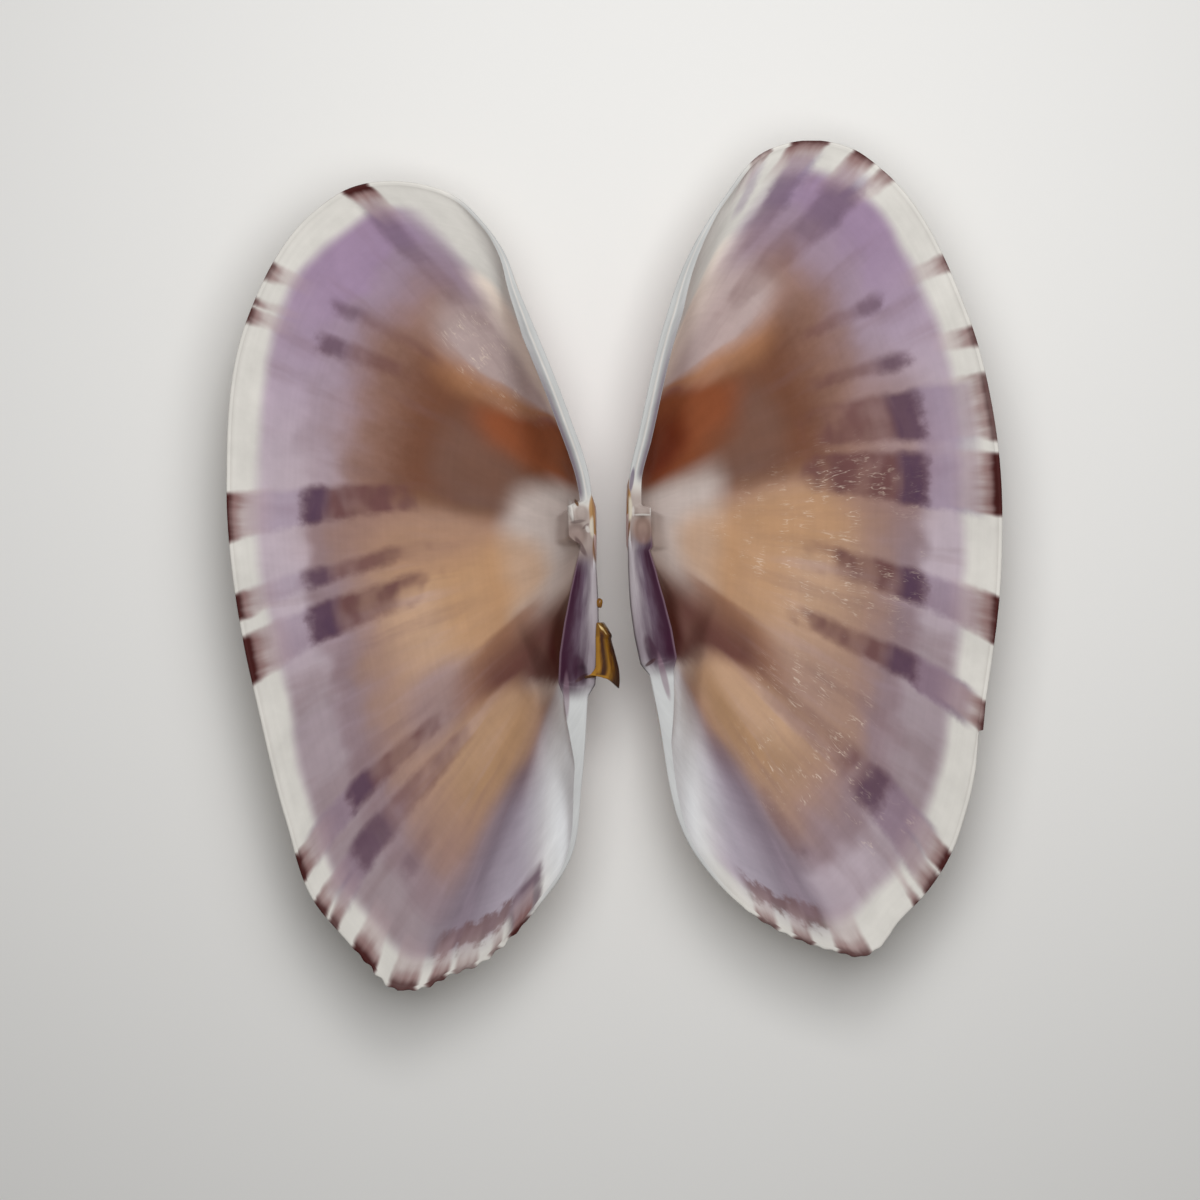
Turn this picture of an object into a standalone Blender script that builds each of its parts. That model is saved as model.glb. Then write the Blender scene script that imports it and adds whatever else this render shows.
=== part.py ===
# Both valves of one sunset clam, lying open side by side with their insides up,
# and what is left of the horny ligament that joined them at the hinge.
# Metres, +Z up. The origin is at the middle of the pair, on the surface it rests on.
import math

import bpy
import bmesh
import numpy as np
from mathutils import Matrix

MM = 0.001

# Each margin is seen from above in the valve's own frame, in millimetres: first how far
# it lies from the hinge line, then how far in front of the beak. The points run from the
# beak along the front, round the open belly side and the cut-off hind end to the hinge.
RIGHT_MARGIN = [
    (0.5, 4.9), (2.0, 9.4), (5.1, 17.2), (6.2, 19.8), (7.2, 22.5), (9.1, 25.2), (11.1, 27.1),
    (14.6, 28.3), (20.0, 27.8), (22.7, 26.0), (28.3, 16.8), (29.8, 4.2), (28.3, -9.6),
    (27.4, -13.6), (25.0, -23.3), (22.6, -30.1), (20.6, -32.5), (18.7, -34.6), (16.0, -37.1),
    (13.4, -36.8), (11.9, -36.0), (9.1, -34.9), (7.4, -33.5), (4.6, -30.4), (2.0, -26.6),
    (1.0, -20.1), (0.5, -12.8), (0.0, -1.1)]
LEFT_MARGIN = [
    (0.1, 3.0), (0.8, 6.2), (3.0, 15.6), (4.6, 20.2), (7.7, 25.4), (10.9, 29.1), (14.6, 30.1),
    (18.2, 29.4), (20.7, 27.6), (27.2, 16.8), (29.9, 5.8), (30.2, -5.0), (28.9, -15.6),
    (27.4, -24.1), (26.1, -27.8), (24.1, -30.9), (21.9, -33.2), (20.2, -35.4), (19.1, -36.0),
    (16.7, -35.6), (10.6, -33.0), (5.2, -27.4), (2.3, -16.0), (0.0, 0.0)]

# Where each beak stands in the pair, and which way its valve opens along X.
RIGHT_BEAK = (-1.75 * MM, 2.7 * MM)
LEFT_BEAK = (1.25 * MM, 4.35 * MM)

VALVE_DEPTH = 7.6 * MM          # from the margin's plane to the deepest point outside
BELLY_FLAT_CUT = 0.14 * MM      # worn away under the belly, which leaves the flat it rests on
WALL = 0.8 * MM                 # shell thickness away from the margin
WALL_FADE = 2.5 * MM            # over which the wall thins out to the sharp margin

GROWTH_TIGHTNESS = 2.0          # how fast the growth lines shrink as they turn down
LENGTH_GROWTH = 0.85            # length grows slower than height, so the rays bow outwards
END_FULLNESS = 0.28             # how much of its depth the valve keeps towards both ends
SMOOTHING_PASSES = 8            # rounds the ridges that run from the beak to the margin's corners
HIND_FULLNESS = 0.06            # how far the deepest part lies behind the beak
BEAK_BULGE = 0.45 * MM          # how far the beak leans out over the hinge line
BEAK_INSET = 0.12 * MM          # how far the beak's tip stands inside the hinge margin
BEAK_REACH = 0.12               # share of the growth that leans out

# The rim as seen from inside, in millimetres: the path along the margin from the beak (in
# front of it positive), the rim's width, how far it is crowned above the margin's plane, and
# how far it juts out. The nymph, which carries the ligament, ends in a step at -12.4.
RIM_STATIONS = [
    (-26.0, 0.28, 0.00, 0.00),
    (-16.0, 0.50, 0.00, 0.00),
    (-13.2, 0.90, 0.00, 0.00),
    (-12.4, 2.40, 0.30, 0.55),
    (-10.0, 2.40, 0.30, 0.60),
    (-2.5, 1.90, 0.15, 0.10),
    (0.0, 1.80, 0.10, 0.00),
    (3.0, 1.60, 0.12, 0.00),
    (6.0, 1.35, 0.12, 0.00),
    (17.0, 1.20, 0.10, 0.00),
    (26.0, 0.28, 0.00, 0.00)]
CROWN_PLACE = 0.45              # where across its width the rim is highest
RIM_SLOPE = 0.35                # share of its width over which the bowl falls away inside it

COLUMNS = 80
OUTSIDE_RINGS = (1.0, 0.97, 0.92, 0.86, 0.79, 0.71, 0.62, 0.53, 0.44, 0.35, 0.26, 0.18, 0.11, 0.065,
                 0.03)
INSIDE_RINGS = (0.975, 0.93, 0.865, 0.78, 0.68, 0.57, 0.45, 0.32, 0.17)
RIM_FOLLOW = 8                  # how soon the inner rings forget the rim's own outline
BOWL_CENTRE = (14.0 * MM, -2.5 * MM)
RIM_HEIGHT = VALVE_DEPTH - BELLY_FLAT_CUT

# Hinge teeth in millimetres and degrees: place from the beak, footprint and turn. The right
# valve has a pair, and the left valve's single tooth fits between them when the shell is shut.
RIGHT_TEETH = [((1.2, 1.9), (0.5, 1.3), 35), ((0.7, 0.5), (0.45, 1.1), -25)]
LEFT_TEETH = [((0.8, 0.2), (0.55, 1.4), 0)]
TOOTH_HEIGHT = 0.6 * MM
TOOTH_TAPER = (0.45, 0.75)      # the top's share of the footprint, across and along

# Cross-sections of the torn ligament in the pair's own frame, in millimetres, from its top
# end towards the hind end: how far along, then its left and its right side.
LIGAMENT_SECTIONS = [
    (-4.55, -1.20, -0.80), (-5.1, -1.22, -0.55), (-5.75, -1.22, -0.30), (-6.6, -1.22, -0.12),
    (-7.5, -1.22, 0.10), (-8.3, -1.25, 0.35), (-9.0, -1.10, 0.42), (-9.5, -0.35, 0.42),
    (-9.95, 0.15, 0.36)]
LIGAMENT_STEPS = 6
LIGAMENT_ARCH = 0.45 * MM       # how far its middle arches up
LIGAMENT_DROP = 1.1 * MM        # how far its free side hangs down
LIGAMENT_WALL = 0.35 * MM

FRAGMENT_PLACE = (-1.02 * MM, -3.05 * MM, RIM_HEIGHT)
FRAGMENT_RADII = (0.28 * MM, 0.42 * MM, 0.25 * MM)

SHELL_COLOUR = (0.72, 0.62, 0.66, 1.0)
HORN_COLOUR = (0.16, 0.075, 0.012, 1.0)


def clear_scene():
    for old in list(bpy.data.objects):
        bpy.data.objects.remove(old, do_unlink=True)


def new_collection(name):
    collection = bpy.data.collections.new(name)
    bpy.context.scene.collection.children.link(collection)
    return collection


def new_material(name, colour, roughness):
    material = bpy.data.materials.new(name)
    material.use_nodes = True
    shader = material.node_tree.nodes["Principled BSDF"]
    shader.inputs["Base Color"].default_value = colour
    shader.inputs["Roughness"].default_value = roughness
    shader.inputs["Metallic"].default_value = 0.0
    return material


def smooth_closed(points, steps=24):
    """A closed smooth curve through the points, its ends weighted by their distances."""
    knots = np.array(points)
    ahead = np.roll(knots, -1, axis=0)
    span = np.linalg.norm(ahead - knots, axis=1)
    slope = (ahead - knots) / span[:, None]
    span_behind = np.roll(span, 1)
    slope_behind = np.roll(slope, 1, axis=0)
    tangent = (slope_behind * span[:, None] + slope * span_behind[:, None])
    tangent /= (span + span_behind)[:, None]
    t = np.linspace(0.0, 1.0, steps, endpoint=False)[:, None]
    pieces = []
    for i in range(len(knots)):
        j = (i + 1) % len(knots)
        pieces.append((2 * t**3 - 3 * t**2 + 1) * knots[i] + (3 * t**2 - 2 * t**3) * knots[j]
                      + (t**3 - 2 * t**2 + t) * span[i] * tangent[i]
                      + (t**3 - t**2) * span[i] * tangent[j])
    return np.concatenate(pieces)


def even_margin(points):
    """The margin as evenly spaced columns from the beak round, with the path to each."""
    curve = smooth_closed(points) * MM - np.array((BEAK_INSET, 0.0))
    start = int(np.argmin(np.hypot(curve[:, 0], curve[:, 1])))
    curve = np.roll(curve, -start, axis=0)
    closed = np.vstack([curve, curve[:1]])
    path = np.concatenate([[0.0], np.cumsum(np.linalg.norm(np.diff(closed, axis=0), axis=1))])
    wanted = np.linspace(0.0, path[-1], COLUMNS, endpoint=False)
    margin = np.stack([np.interp(wanted, path, closed[:, k]) for k in (0, 1)], axis=1)
    signed = np.where(wanted < path[-1] / 2, wanted, wanted - path[-1])
    return margin, signed


def fullness(margin):
    """How deep each ray of the valve runs, before the whole is brought to its depth."""
    reach = np.hypot(margin[:, 0], margin[:, 1])
    height = np.maximum(margin[:, 0], 0.0)
    rays = (height + END_FULLNESS * (reach - height)) * (1 - HIND_FULLNESS * margin[:, 1] / reach)
    for _ in range(SMOOTHING_PASSES):
        rays = (np.roll(rays, 1) + 2 * rays + np.roll(rays, -1)) / 4
    return rays


def growth_ring(margin, depth_factor, size):
    """The margin as it was when the shell had grown to the given share of its height."""
    turn = -math.log(size) / GROWTH_TIGHTNESS
    rays = fullness(margin)
    lean = BEAK_BULGE * math.exp(-(size / BEAK_REACH)**2) * rays / rays.max()
    across = margin[:, 0] * size * math.cos(turn) - lean
    along = margin[:, 1] * size**LENGTH_GROWTH
    depth = rays * size * math.sin(turn) * depth_factor
    return np.stack([across, along, -depth], axis=1)


def deepest_factor(margin):
    sizes = np.linspace(0.2, 0.6, 81)
    lowest = min(growth_ring(margin, 1.0, size)[:, 2].min() for size in sizes)
    return VALVE_DEPTH / -lowest


def outside_depth(margin, depth_factor, points):
    """Depth of the outer surface under points inside the margin.

    The growth line through each point is found by halving, between the beak and the margin.
    """
    centre = np.array(BOWL_CENTRE)
    arms = margin - centre
    angle = np.arctan2(arms[:, 1], arms[:, 0])
    order = np.argsort(angle)
    angle = angle[order]
    reach = np.hypot(arms[order, 0], arms[order, 1])
    rays = fullness(margin)[order]
    low = np.full(len(points), 0.05)
    high = np.ones(len(points))
    for _ in range(40):
        size = (low + high) / 2
        turn = -np.log(size) / GROWTH_TIGHTNESS
        full_across = points[:, 0] / (size * np.cos(turn))
        grown = np.stack([full_across, points[:, 1] / size**LENGTH_GROWTH], axis=1)
        arm = grown - centre
        heading = np.arctan2(arm[:, 1], arm[:, 0])
        outside = np.hypot(arm[:, 0], arm[:, 1]) > np.interp(heading, angle, reach, period=2 * math.pi)
        low = np.where(outside, size, low)
        high = np.where(outside, high, size)
    ray = np.interp(heading, angle, rays, period=2 * math.pi)
    return ray * size * np.sin(turn) * depth_factor


def rim_profile(signed):
    """Width of the rim, height of its crown and overhang of the nymph along the margin."""
    stations = np.array(RIM_STATIONS) * MM
    return [np.interp(signed, stations[:, 0], stations[:, k]) for k in (1, 2, 3)]


def inward_normals(margin):
    """Unit vectors square to the margin, towards the bowl. The margin runs clockwise."""
    ahead = np.roll(margin, -1, axis=0) - np.roll(margin, 1, axis=0)
    ahead /= np.linalg.norm(ahead, axis=1)[:, None]
    return np.stack([ahead[:, 1], -ahead[:, 0]], axis=1)


def inside_ring(margin, edge, width, depth_factor, share):
    """One ring of the bowl's inner surface, between its centre and the rim's inner edge.

    Away from the rim the rings follow the margin, so the nymph's end stays a local step.
    """
    centre = np.array(BOWL_CENTRE)
    follow = share**RIM_FOLLOW
    points = centre + (edge * follow + margin * (1 - follow) - centre) * share
    to_edge = np.linalg.norm(edge - points, axis=1)
    wall = WALL * (1 - np.exp(-(to_edge + width) / WALL_FADE))
    depth = np.maximum(outside_depth(margin, depth_factor, points) - wall, 0.0)
    depth *= 1 - np.exp(-to_edge / (RIM_SLOPE * width))
    return np.column_stack([points, -depth])


def valve_rings(margin, signed):
    """All rings of a valve, from the beak outside over the rim to the bowl's centre."""
    factor = deepest_factor(margin)
    width, crown, ledge = rim_profile(signed)
    inward = inward_normals(margin)
    outside = [growth_ring(margin, factor, size) for size in OUTSIDE_RINGS]
    outside[0][:, :2] -= inward * ledge[:, None]
    edge = margin + inward * width[:, None]
    middle = margin + inward * (CROWN_PLACE * (width + ledge) - ledge)[:, None]
    rim = [np.column_stack([middle, crown]), np.column_stack([edge, 0.3 * crown])]
    inside = [inside_ring(margin, edge, width, factor, share) for share in INSIDE_RINGS]
    centre = np.array([BOWL_CENTRE])
    bottom = -(outside_depth(margin, factor, centre)[0] - WALL)
    return outside[::-1] + rim + inside, (BOWL_CENTRE[0], BOWL_CENTRE[1], bottom)


def loft(rings, last_point, place):
    """A closed body from rings of equal count, capped at the first, drawn to a point last."""
    bm = bmesh.new()
    rows = [[bm.verts.new(place(point)) for point in ring] for ring in rings]
    count = len(rows[0])
    for row, after in zip(rows, rows[1:]):
        for i in range(count):
            j = (i + 1) % count
            bm.faces.new((row[i], row[j], after[j], after[i]))
    bm.faces.new(rows[0])
    tip = bm.verts.new(place(last_point))
    for i in range(count):
        bm.faces.new((rows[-1][i], rows[-1][(i + 1) % count], tip))
    bmesh.ops.recalc_face_normals(bm, faces=bm.faces)
    return bm


def cut_belly_flat(bm):
    """Takes the belly off level with the resting surface and closes the cut."""
    everything = bm.verts[:] + bm.edges[:] + bm.faces[:]
    bmesh.ops.bisect_plane(bm, geom=everything, dist=1e-7, plane_co=(0, 0, 0), plane_no=(0, 0, 1),
                           clear_inner=True)
    open_edges = [edge for edge in bm.edges if edge.is_boundary]
    bmesh.ops.edgeloop_fill(bm, edges=open_edges)
    bmesh.ops.recalc_face_normals(bm, faces=bm.faces)


def mesh_object(name, bm, collection, material):
    mesh = bpy.data.meshes.new(name)
    bmesh.ops.triangulate(bm, faces=bm.faces)
    bm.to_mesh(mesh)
    bm.free()
    mesh.shade_smooth()
    mesh.set_sharp_from_angle(angle=math.radians(40))
    mesh.materials.append(material)
    piece = bpy.data.objects.new(name, mesh)
    collection.objects.link(piece)
    return piece


def move_to_collection(piece, collection):
    for holder in list(piece.users_collection):
        holder.objects.unlink(piece)
    collection.objects.link(piece)


def add_tooth(valve, place, joined_forms, centre, footprint, turn):
    """Joins one hinge tooth, a small tapered ridge rooted in the hinge plate, to a valve."""
    bpy.ops.mesh.primitive_cube_add(size=1.0)
    tooth = bpy.context.object
    tooth.name = valve.name + "_tooth"
    for vert in tooth.data.vertices:
        taper = TOOTH_TAPER if vert.co.z > 0 else (1.0, 1.0)
        vert.co.x *= footprint[0] * MM * taper[0]
        vert.co.y *= footprint[1] * MM * taper[1]
        vert.co.z *= 2 * TOOTH_HEIGHT
    tooth.data.transform(Matrix.Rotation(math.radians(turn), 4, "Z"))
    tooth.location = place((centre[0] * MM, centre[1] * MM, 0.0))
    tooth.hide_render = True
    tooth.display_type = "WIRE"
    move_to_collection(tooth, joined_forms)
    join = valve.modifiers.new("join_tooth", "BOOLEAN")
    join.operation = "UNION"
    join.solver = "EXACT"
    join.object = tooth


def build_valve(name, margin_points, beak, side, teeth, collection, joined_forms, material):
    def place(point):
        return (beak[0] + side * point[0], beak[1] + point[1], RIM_HEIGHT + point[2])

    margin, signed = even_margin(margin_points)
    rings, bottom = valve_rings(margin, signed)
    bm = loft(rings, bottom, place)
    cut_belly_flat(bm)
    valve = mesh_object(name, bm, collection, material)
    for centre, footprint, turn in teeth:
        add_tooth(valve, place, joined_forms, centre, footprint, side * turn)


def build_ligament(collection, material):
    """The torn ligament: a curved flake that arches out from the right valve's nymph."""
    bm = bmesh.new()
    rows = []
    for along, left, right in LIGAMENT_SECTIONS:
        row = []
        for k in range(LIGAMENT_STEPS + 1):
            t = k / LIGAMENT_STEPS
            across = (left + (right - left) * t) * MM
            lift = LIGAMENT_ARCH * math.sin(math.pi * t) - LIGAMENT_DROP * t**2
            row.append(bm.verts.new((across, along * MM, RIM_HEIGHT + lift)))
        rows.append(row)
    for row, after in zip(rows, rows[1:]):
        for k in range(LIGAMENT_STEPS):
            bm.faces.new((row[k], row[k + 1], after[k + 1], after[k]))
    flake = mesh_object("ligament", bm, collection, material)
    wall = flake.modifiers.new("wall", "SOLIDIFY")
    wall.thickness = LIGAMENT_WALL
    wall.offset = 0.0


def build_fragment(collection, material):
    """A crumb of the ligament left higher up beside the nymph."""
    bpy.ops.mesh.primitive_uv_sphere_add(segments=10, ring_count=6, radius=1.0)
    crumb = bpy.context.object
    crumb.name = "ligament_fragment"
    for vert in crumb.data.vertices:
        vert.co = [vert.co[k] * FRAGMENT_RADII[k] for k in range(3)]
    crumb.location = FRAGMENT_PLACE
    crumb.data.materials.append(material)
    crumb.data.shade_smooth()
    move_to_collection(crumb, collection)


def main():
    clear_scene()
    collection = new_collection("sunset_clam_shell")
    joined_forms = new_collection("joined_forms")
    shell = new_material("shell", SHELL_COLOUR, 0.3)
    horn = new_material("horn", HORN_COLOUR, 0.25)
    build_valve("right_valve", RIGHT_MARGIN, RIGHT_BEAK, -1, RIGHT_TEETH, collection, joined_forms, shell)
    build_valve("left_valve", LEFT_MARGIN, LEFT_BEAK, 1, LEFT_TEETH, collection, joined_forms, shell)
    build_ligament(collection, horn)
    build_fragment(collection, horn)


main()
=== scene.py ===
import math

import bpy
import numpy as np
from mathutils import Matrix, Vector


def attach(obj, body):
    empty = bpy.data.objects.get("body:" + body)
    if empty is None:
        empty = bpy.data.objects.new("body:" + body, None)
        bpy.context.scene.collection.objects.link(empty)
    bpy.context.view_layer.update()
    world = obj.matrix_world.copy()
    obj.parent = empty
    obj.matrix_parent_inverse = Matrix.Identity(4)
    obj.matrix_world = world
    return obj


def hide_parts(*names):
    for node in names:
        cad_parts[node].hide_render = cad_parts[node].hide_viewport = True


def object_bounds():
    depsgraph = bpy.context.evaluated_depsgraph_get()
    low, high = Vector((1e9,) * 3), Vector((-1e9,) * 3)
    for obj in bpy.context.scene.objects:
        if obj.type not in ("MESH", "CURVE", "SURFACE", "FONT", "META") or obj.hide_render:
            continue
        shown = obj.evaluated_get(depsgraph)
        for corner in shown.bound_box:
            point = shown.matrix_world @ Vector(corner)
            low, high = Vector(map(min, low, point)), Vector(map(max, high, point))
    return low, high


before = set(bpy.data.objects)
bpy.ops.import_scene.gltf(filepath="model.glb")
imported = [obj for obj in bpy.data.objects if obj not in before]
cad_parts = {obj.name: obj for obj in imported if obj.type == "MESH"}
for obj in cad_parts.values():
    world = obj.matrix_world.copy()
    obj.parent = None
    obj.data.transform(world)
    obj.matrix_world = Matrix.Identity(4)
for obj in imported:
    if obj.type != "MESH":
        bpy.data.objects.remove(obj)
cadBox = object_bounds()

# A sunset clam shell, open: two thin glossy valves with their insides up, and the torn
# horny ligament at the hinge. Sizes are in millimetres unless a note says otherwise.
mm = 0.001

# How both valves grow from the beak: the margin shrinks and turns down along a spiral.
growthHabit = {
    "tightness": 2.0,        # greater turns less from the margin to the beak
    "lengthPower": 0.85,     # how fast the length shrinks beside the height
    "endFullness": 0.28,     # how deep the two ends run
    "hindFullness": 0.06,
    "evenColumns": 80,
    "smoothing": 8,          # passes over evenColumns
    "fineColumns": 1600,
    "fineSmoothing": 60,
    "calming": 60,           # passes over the rim's width, for the slope behind it
    "fineSteps": 4001,       # for reading places along the margin
    "halvings": 36,          # rounds that find the growth line under a point
    "depth": 7.6,
    "bellyCut": 0.14,        # worn flat where it rests
    "wall": 0.8,
    "wallFade": 2.5,         # how far in from the margin the wall thickens
    "rimFollow": 8,
    "rimSlope": 0.35,
    "beakLean": 0.45,
    "beakReach": 0.12,
    "beakInset": 0.12,
    "bowlMiddle": (14.0, -2.5),
    "tip": 0.03,             # the smallest growth line at the beak
}

# Path from the beak along the margin (in front of it positive), the rim's width, the
# height of its crown and how far it juts out. The nymph ends in a step at -12.4.
rimStations = [
    (-28.0, 0.28, 0.00, 0.00), (-19.0, 0.70, 0.00, 0.00), (-15.5, 1.60, 0.00, 0.00),
    (-13.4, 2.00, 0.00, 0.00), (-12.4, 2.45, 0.22, 0.55), (-10.0, 2.50, 0.30, 0.60),
    (-7.5, 2.30, 0.28, 0.50), (-5.0, 1.95, 0.22, 0.30), (-2.5, 1.45, 0.15, 0.10),
    (-1.0, 1.10, 0.10, 0.00), (3.0, 1.00, 0.10, 0.00), (6.0, 1.12, 0.12, 0.00),
    (17.0, 1.20, 0.10, 0.00), (26.0, 0.28, 0.00, 0.00)]

# Margin, reliefs and tints are placed by how far they lie from the hinge line, then how far
# in front of the beak. Reliefs: middle, half sizes, turn in degrees, height. Tints: colour,
# middle, half sizes, turn, strength.
# All other patterns are placed by ray, the share of the path round the margin from the beak
# over the front end, and by growth, 0 at the beak and 1 at the margin. Marks and veils: from
# ray, to ray, strength. Rays: from, to, the growth they reach up and down to, strength.
# Scratches: middle, reach, strength.
rightValve = {
    "node": "right_valve",
    "beak": (-1.75, 2.7),
    "side": -1,
    "margin": [
        (0.5, 4.9), (2.0, 9.4), (5.1, 17.2), (6.2, 19.8), (7.2, 22.5), (9.1, 25.2),
        (11.1, 27.1), (14.6, 28.3), (20.0, 27.8), (22.7, 26.0), (28.3, 16.8), (29.8, 4.2),
        (28.3, -9.6), (27.4, -13.6), (25.0, -23.3), (22.6, -30.1), (20.6, -32.5),
        (18.7, -34.6), (16.0, -37.1), (13.4, -36.8), (11.9, -36.0), (9.1, -34.9),
        (7.4, -33.5), (4.6, -30.4), (2.0, -26.6), (1.0, -20.1), (0.5, -12.8), (0.0, -1.1)],
    "plate": (-1.9, 2.75, 2.05),     # the tooth plate: from, to, how wide
    "reliefs": [
        ((1.72, 1.75), (0.18, 0.95), 10, 0.34),
        ((0.90, 1.50), (0.55, 0.62), 8, 0.16),
        ((1.33, 2.42), (0.14, 0.38), 25, -0.30),
        ((1.30, -0.25), (0.75, 0.95), 8, -0.30),
        ((0.47, 0.22), (0.16, 0.18), 0, 0.08),
        ((0.90, -11.6), (0.60, 0.80), 10, -0.30)],
    # besides the beak's own colours these paint light on the hinge: dark lines and patches as shade at
    # the steps of plates, sockets and the nymph's end, white crests as highlight on the teeth
    "tints": [
        ("beakGold", (0.02, 2.05), (0.30, 1.10), -4, 0.85),
        ("beakCream", (0.02, 0.45), (0.25, 0.85), 0, 0.75),
        ("beakBrown", (-0.22, -1.30), (0.24, 1.10), 0, 0.85),
        ("toothGrey", (0.92, 1.50), (0.62, 0.72), 8, 0.80),
        ("beakBrown", (1.33, 2.42), (0.13, 0.36), 25, 0.90),
        ("toothWhite", (1.78, 1.80), (0.15, 0.95), 10, 0.90),
        ("socketGrey", (1.35, -0.15), (0.85, 1.00), 8, 0.80),
        ("socketLine", (1.22, 0.86), (0.62, 0.14), 8, 0.40),
        ("socketLine", (0.56, 0.50), (0.34, 0.12), 40, 0.45),
        ("toothWhite", (0.42, 0.24), (0.16, 0.30), 20, 0.60),
        ("socketLine", (0.98, -1.15), (0.22, 0.90), 30, 0.60),
        ("crestPink", (2.15, -13.3), (0.26, 1.90), 0, 0.60),
        ("nymphDark", (1.10, -11.10), (0.55, 1.20), 14, 0.55),
        ("socketLine", (0.92, -11.80), (0.60, 0.16), 34, 0.80)],
    "scallops": (0.672, 0.795, 0.10),       # the ribbed hind margin: from, to, depth
    "chip": None,
    "marks": [
        (0.239, 0.253, 1.0), (0.306, 0.315, 0.75), (0.326, 0.3305, 0.7), (0.332, 0.340, 0.9),
        (0.429, 0.455, 1.0), (0.482, 0.496, 1.0), (0.505, 0.530, 1.0), (0.621, 0.635, 1.0),
        (0.648, 0.656, 0.95), (0.659, 0.666, 0.8), (0.6785, 0.695, 1.0), (0.7055, 0.721, 0.85),
        (0.7275, 0.738, 0.85), (0.742, 0.755, 0.5), (0.764, 0.770, 0.5), (0.778, 0.794, 1.0)],
    "rays": [
        (0.238, 0.252, 0.98, 0.50, 0.24), (0.300, 0.3075, 0.82, 0.55, 0.45),
        (0.3225, 0.334, 0.82, 0.56, 0.62), (0.4215, 0.4445, 0.81, 0.53, 1.0),
        (0.473, 0.4845, 0.81, 0.52, 0.85), (0.496, 0.5195, 0.82, 0.53, 1.0),
        (0.610, 0.625, 0.82, 0.55, 0.95), (0.638, 0.657, 0.86, 0.50, 0.68),
        (0.672, 0.684, 0.80, 0.66, 0.30), (0.766, 0.792, 0.99, 0.85, 0.7)],
    "veils": [(0.4215, 0.4445, 0.45), (0.496, 0.5195, 0.40), (0.473, 0.4845, 0.32),
              (0.240, 0.250, 0.5), (0.610, 0.626, 0.50), (0.640, 0.657, 0.55)],
    "scratches": [((0.248, 0.46), (0.035, 0.16), 1.3)],
    "outerEdge": (0.942, 0.900),     # growth where the white margin turns lilac
    "dusk": 0.65,                    # how much darker the hind part is
    "peachDepth": 0.9,
    "rustEnd": 0.334,                # ray where the rust in front of the beak stops
    "rustTone": 1.12,
    "rustDepth": 0.0,
    "paleEdge": (0.335, 0.402),      # rays where the pale patch below the beak begins
    "paleSlant": 0.5,
    "bankPaintedLightRays": (0.228, 0.200),     # rays over which the front bank is painted lighter against the shade of its steep slope
}
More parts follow.
